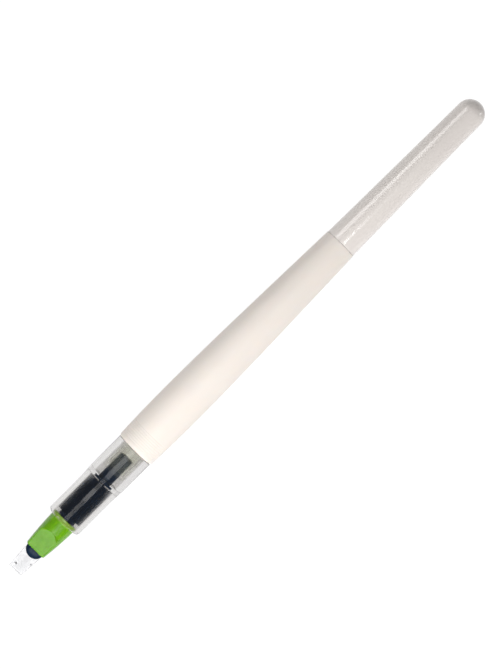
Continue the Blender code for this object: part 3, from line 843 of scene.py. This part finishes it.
def glossy_plastic():
    """Glossy warm grey-white plastic."""
    gloss = Shading("glossy_plastic")
    cloud = gloss.noise(4 * MM, stretch=(3, 1, 1), detail=1)
    gloss.vary_colour(cloud, (0.86, 0.80, 0.76), (0.88, 0.825, 0.78))
    gloss.vary_roughness(gloss.noise(3 * MM, detail=1), 0.14, 0.17)
    gloss.bump(gloss.noise(6 * MM, detail=1), 0.002 * MM)
    return gloss.material


def floor_material():
    """A pale, softly lit table top."""
    table = Shading("table_top")
    table.vary_colour(table.noise(60 * MM), (0.09, 0.09, 0.09), (0.11, 0.11, 0.11))
    table.set(Roughness=0.8, Specular_IOR_Level=0.1, Emission_Color=(1, 1, 1, 1), Emission_Strength=0.96)
    return table.material


# The stage


def add_floor():
    mesh = bpy.data.meshes.new("table_top")
    corners = [(FLOOR_REACH * x, FLOOR_REACH * y, 0) for x, y in ((-1, -1), (1, -1), (1, 1), (-1, 1))]
    mesh.from_pydata(corners, [], [(0, 1, 2, 3)])
    floor = bpy.data.objects.new("table_top", mesh)
    floor.data.materials.append(floor_material())
    bpy.context.collection.objects.link(floor)


def add_softbox(name, place, aim, size, radiance, sheen=True):
    """A soft light turned to a point, its size along the pen and across it.

    A light with sheen shows in reflections and behind clear plastic, and lights nothing. One without it gives
    the even light, and isn't seen. So the even light and the highlights can be set one by one.
    """
    light = bpy.data.lights.new(name, "AREA")
    light.shape = "RECTANGLE"
    light.size, light.size_y = size
    light.energy = radiance * math.pi * size[0] * size[1]
    lamp = bpy.data.objects.new(name, light)
    lamp.location = place
    away = (lamp.location - Vector(aim)).normalized()
    across = away.cross(Vector((1, 0, 0))).normalized()
    lamp.rotation_euler = Matrix((across.cross(away), across, away)).transposed().to_euler()
    lamp.visible_camera = False
    lamp.visible_diffuse = not sheen
    lamp.visible_glossy = lamp.visible_transmission = sheen
    bpy.context.collection.objects.link(lamp)


def add_world():
    world = bpy.data.worlds.new("studio")
    world.use_nodes = True
    background = world.node_tree.nodes["Background"]
    background.inputs["Color"].default_value = (1, 1, 1, 1)
    background.inputs["Strength"].default_value = WORLD_LIGHT
    bpy.context.scene.world = world


def add_lights():
    """The lamps, with sizes in metres. The first two give the light and the others the highlights."""
    add_softbox("key", (-0.11, -0.07, 0.19), (-0.01, 0, 0), (0.14, 0.14), 6.4, sheen=False)
    add_softbox("sky", (-0.6, 0, 0.95), (-0.6, 0, 0), (1.6, 4), 0.63, sheen=False)
    add_softbox("overhead", (-0.055, 0, 0.8), (-0.055, 0, 0), (0.23, 0.42), 1.6)
    add_softbox("plate_light", (-0.236, 0, 0.8), (-0.236, 0, 0), (0.128, 0.36), 0.4)
    add_softbox("nib_light", (-0.265, -0.01, 0.5), (-0.07, 0, 0), (0.1, 0.3), 2.1)
    add_softbox("window", (-0.17, -0.13, 0.375), (-0.064, 0, 0), (0.03, 0.4), 2.8)
    add_softbox("edge_strip", (0.12, 0.37, 0.335), (0.06, 0, 0), (0.13, 0.2), 4.5)
    add_softbox("end_spot", (0.436, -0.343, 0.074), (0.0765, 0, 0), (0.09, 0.09), 14)
    add_softbox("seam_spot", (0.06, -0.09, 0.4), (0.033, 0, 0), (0.01, 0.09), 32)


def add_camera():
    """A camera straight above the pen, turned so that the pen points up to the right."""
    camera = bpy.data.cameras.new("camera")
    camera.lens = CAMERA_LENS
    camera.sensor_width = SENSOR_WIDTH
    camera.clip_start = NEAREST_SEEN
    seen_from = bpy.data.objects.new("camera", camera)
    seen_from.location = (CAMERA_X, CAMERA_Y, AXIS_HEIGHT + CAMERA_DISTANCE)
    seen_from.rotation_euler = (0, 0, CAMERA_TURN)
    bpy.context.collection.objects.link(seen_from)
    bpy.context.scene.camera = seen_from


def main():
    black = black_plastic()
    milky = milky_plastic()
    add_nib_unit(brushed_steel(), black, green_plastic())
    add_grip(clear_plastic())
    add_nipple(black)
    add_cartridge(milky)
    add_barrel(ivory_plastic())
    add_tail(glossy_plastic())
    add_floor()
    add_world()
    add_lights()
    add_camera()
    bpy.context.scene.view_settings.view_transform = "Standard"


main()
